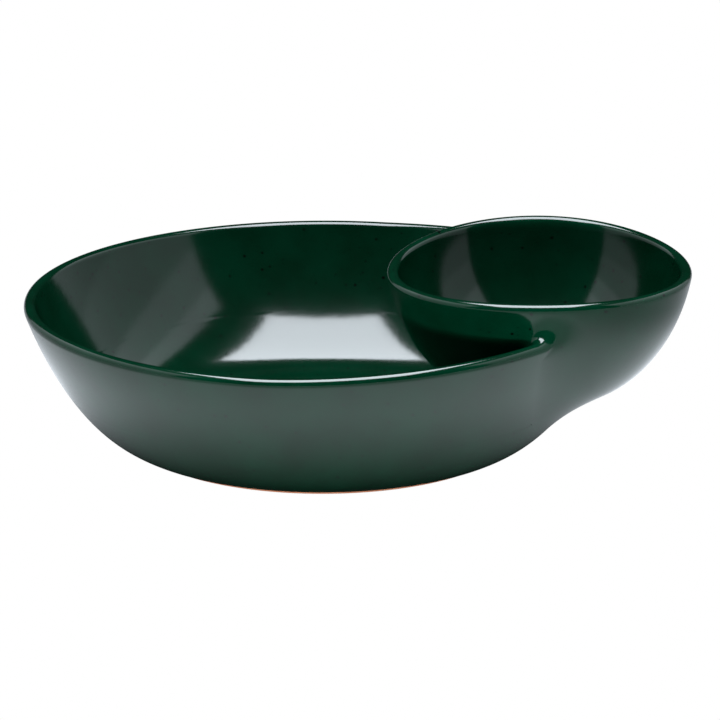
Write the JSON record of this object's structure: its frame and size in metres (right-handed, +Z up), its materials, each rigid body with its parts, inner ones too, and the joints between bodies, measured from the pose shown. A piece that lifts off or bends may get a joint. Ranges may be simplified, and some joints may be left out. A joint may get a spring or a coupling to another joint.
{
  "type": "chip and dip server",
  "caption": "Wide round glazed chip bowl with a smaller, higher round dip bowl luted through its rim, standing on a low ring of bare clay.",
  "frame": {"origin": "middle of the footprint's box, on the table", "axes": "+X from the chip bowl towards the dip bowl, +Z up, +Y to the back"},
  "size_m": [0.319, 0.285, 0.0956],
  "materials": {
    "green_glaze": "high gloss bottle green with fine dark specks",
    "bare_terracotta": "matte, unglazed, turned smooth"
  },
  "bodies": {
    "root": {"chip_bowl": "green_glaze", "foot_ring": "bare_terracotta", "dip_bowl": "green_glaze", "seam_coil_outer": "green_glaze", "seam_coil_inner": "green_glaze"}
  },
  "joints": []
}
